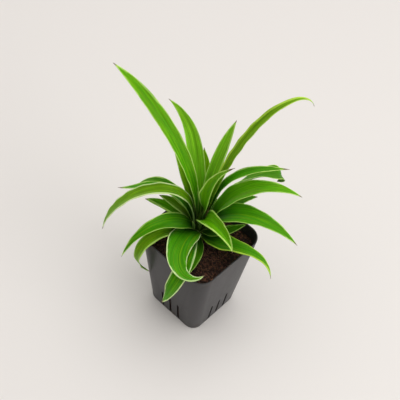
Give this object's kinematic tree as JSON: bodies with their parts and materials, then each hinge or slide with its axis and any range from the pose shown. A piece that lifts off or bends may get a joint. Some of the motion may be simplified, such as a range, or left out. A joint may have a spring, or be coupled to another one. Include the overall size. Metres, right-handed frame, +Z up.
{
  "type": "potted spider plant",
  "caption": "Spider plant: a rosette of arching, channelled, cream-edged leaves on a short crown, in the soil of a square tapered nursery pot with drainage slots.",
  "frame": {"origin": "middle of the pot's underside, on the surface that it stands on", "axes": "+Z up; the pot's four faces look along +X, -X, +Y and -Y; the side seen first in the picture is the corner between +X and -Y"},
  "size_m": [0.1656, 0.1457, 0.2568],
  "materials": {
    "pot_plastic": "satin",
    "soil": "matte",
    "crown_tissue": "satin",
    "leaf_tissue": "satin"
  },
  "bodies": {
    "root": {"pot": "pot_plastic", "soil": "soil", "crown": "crown_tissue", "leaf_tall_left": "leaf_tissue", "leaf_tall_back": "leaf_tissue", "leaf_short_back": "leaf_tissue", "leaf_short_left": "leaf_tissue", "leaf_tall_right": "leaf_tissue", "leaf_long_right": "leaf_tissue", "leaf_folded_right": "leaf_tissue", "leaf_narrow_right": "leaf_tissue", "leaf_drooping_right": "leaf_tissue", "leaf_arched_right": "leaf_tissue", "leaf_small_right": "leaf_tissue", "leaf_broad_right": "leaf_tissue", "leaf_folded_front": "leaf_tissue", "leaf_low_right": "leaf_tissue", "leaf_low_back_right": "leaf_tissue", "leaf_long_left": "leaf_tissue", "leaf_flat_left": "leaf_tissue", "leaf_humped_left": "leaf_tissue", "leaf_small_left": "leaf_tissue", "leaf_broad_left": "leaf_tissue", "leaf_hooked_left": "leaf_tissue", "leaf_broad_front": "leaf_tissue", "leaf_tucked_front": "leaf_tissue", "leaf_hanging_front": "leaf_tissue", "leaf_tiny_left": "leaf_tissue"}
  },
  "joints": []
}
